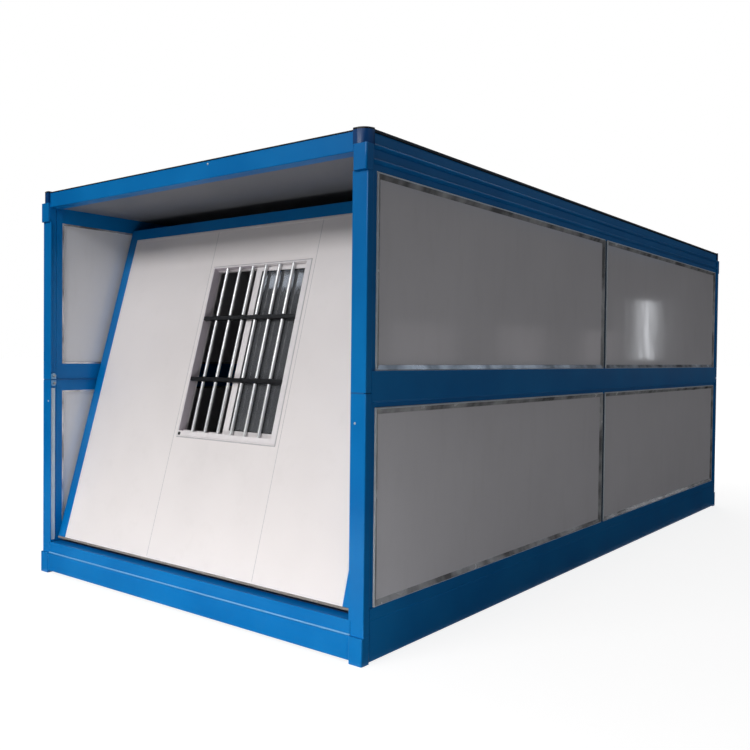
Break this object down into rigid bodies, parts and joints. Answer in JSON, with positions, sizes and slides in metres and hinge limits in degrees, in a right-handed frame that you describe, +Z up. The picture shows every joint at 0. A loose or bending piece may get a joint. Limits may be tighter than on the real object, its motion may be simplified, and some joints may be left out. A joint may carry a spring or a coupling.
{
  "type": "foldable container house",
  "caption": "Flat-pack steel cabin with a blue frame, panelled long walls folded at mid-height, and a barred window wall that swings down on floor hinges.",
  "frame": {"origin": "on the ground below the middle of the house", "axes": "+X across the house to the right as seen from the window end, +Y along the house away from the window end, +Z up"},
  "size_m": [2.71, 5.58, 2.48],
  "materials": {
    "frame_paint": "blue enamel on folded steel, satin",
    "side_panel": "gray coated steel skin on foam, glossy",
    "wall_panel": "white coated steel skin on foam",
    "ceiling": "pale coated steel skin on foam",
    "floor": "sealed board",
    "zinc_steel": "zinc-plated steel",
    "roof": "folded zinc-coated sheet",
    "trim": "bright aluminium trim",
    "rubber": "pale rubber seal",
    "window_white": "white window profile",
    "glass": "clear float glass",
    "bright_steel": "polished tube",
    "dark_steel": "black enamel on steel tube",
    "door_paint": "pale gray enamel",
    "handle": "satin metal"
  },
  "bodies": {
    "house": {"base_front_beam": "frame_paint", "base_rear_beam": "frame_paint", "base_left_beam": "frame_paint", "base_right_beam": "frame_paint", "base_corner_blocks": "frame_paint", "floor_joists": "zinc_steel", "floor_board": "floor", "roof_front_beam": "frame_paint", "roof_rear_beam": "frame_paint", "roof_left_beam": "frame_paint", "roof_right_beam": "frame_paint", "roof_corner_blocks": "frame_paint", "roof_purlins": "zinc_steel", "roof_sheet": "roof", "ceiling_panel": "ceiling", "left_lower_frame": "frame_paint", "left_upper_frame": "frame_paint", "right_lower_frame": "frame_paint", "right_upper_frame": "frame_paint", "left_lower_panels": "side_panel", "left_upper_panels": "side_panel", "right_lower_panels": "side_panel", "right_upper_panels": "side_panel", "left_trims": "trim", "right_trims": "trim", "fold_strips": "frame_paint", "post_seals": "rubber", "post_hinge_plates": "zinc_steel", "rear_wall_frame": "frame_paint", "rear_wall_panels": "wall_panel", "rear_door_frame": "door_paint", "rear_door": "door_paint", "rear_door_handle": "handle", "floor_hinges": "zinc_steel"},
    "window_wall": {"window_wall_frame": "frame_paint", "window_wall_left_panel": "wall_panel", "window_wall_middle_panel": "wall_panel", "window_wall_right_panel": "wall_panel", "window_frame": "window_white", "window_sashes": "window_white", "window_panes": "glass", "grille_rails": "dark_steel", "grille_bars": "bright_steel", "window_wall_hinges": "zinc_steel"}
  },
  "joints": [
    {"name": "window_wall_hinge", "type": "hinge", "parent": "house", "child": "window_wall", "pos_m": [0, -2.664, 0.211], "axis": [-1, 0, 0], "range_deg": [-15.5, 74.5]}
  ]
}
